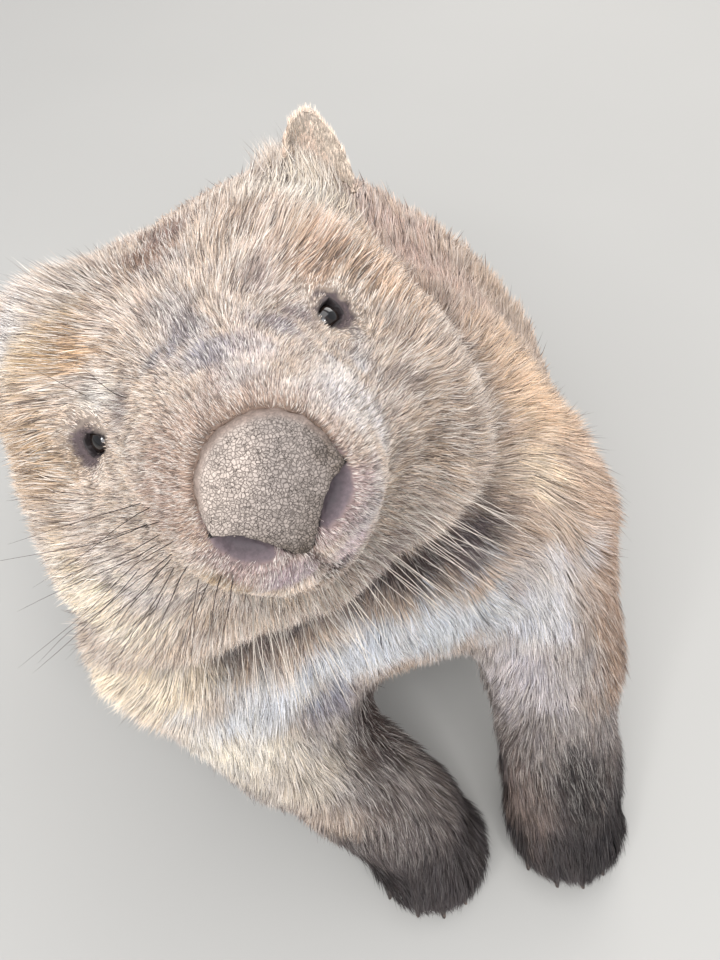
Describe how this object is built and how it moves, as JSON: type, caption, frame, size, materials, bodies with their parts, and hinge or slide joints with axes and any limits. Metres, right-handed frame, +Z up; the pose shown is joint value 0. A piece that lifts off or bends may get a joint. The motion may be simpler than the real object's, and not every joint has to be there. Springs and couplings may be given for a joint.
{
  "type": "wombat figure, sitting, life size",
  "caption": "Life-size bare-nosed wombat sitting on its haunches, forefeet planted, broad head raised and tipped to look up at the viewer.",
  "frame": {"origin": "middle of the whole animal's footprint, on the floor", "axes": "+Z up; nose towards -Y, rump towards +Y; +X is the animal's left"},
  "size_m": [0.3336, 0.5486, 0.4222],
  "materials": {
    "face_fur": "short, flat, grizzled fur in cream, tan and grey-brown",
    "body_fur": "dense coarse coat, cream to grey-brown, tips paler than the roots",
    "ear_fur": "short pale fur, greyer inside the cup",
    "paw_fur": "short dark grey-brown fur",
    "nose_pad": "bare, dry skin broken into small granular cells",
    "eye": "wet, glossy, very dark brown",
    "claw": "dark horn, worn smooth"
  },
  "bodies": {
    "root": {"head": "face_fur", "nose_pad": "nose_pad", "eye_left": "eye", "eye_right": "eye", "ear_left": "ear_fur", "ear_right": "ear_fur", "neck": "body_fur", "torso": "body_fur", "tail": "body_fur", "foreleg_left": "body_fur", "foreleg_right": "body_fur", "forepaw_left": "paw_fur", "forepaw_right": "paw_fur", "hind_leg_left": "body_fur", "hind_leg_right": "body_fur", "hind_paw_left": "paw_fur", "hind_paw_right": "paw_fur", "claw_front_left_1": "claw", "claw_front_left_2": "claw", "claw_front_left_3": "claw", "claw_front_left_4": "claw", "claw_front_left_5": "claw", "claw_front_right_1": "claw", "claw_front_right_2": "claw", "claw_front_right_3": "claw", "claw_front_right_4": "claw", "claw_front_right_5": "claw", "claw_hind_left_1": "claw", "claw_hind_left_2": "claw", "claw_hind_left_3": "claw", "claw_hind_left_4": "claw", "claw_hind_right_1": "claw", "claw_hind_right_2": "claw", "claw_hind_right_3": "claw", "claw_hind_right_4": "claw"}
  },
  "joints": []
}
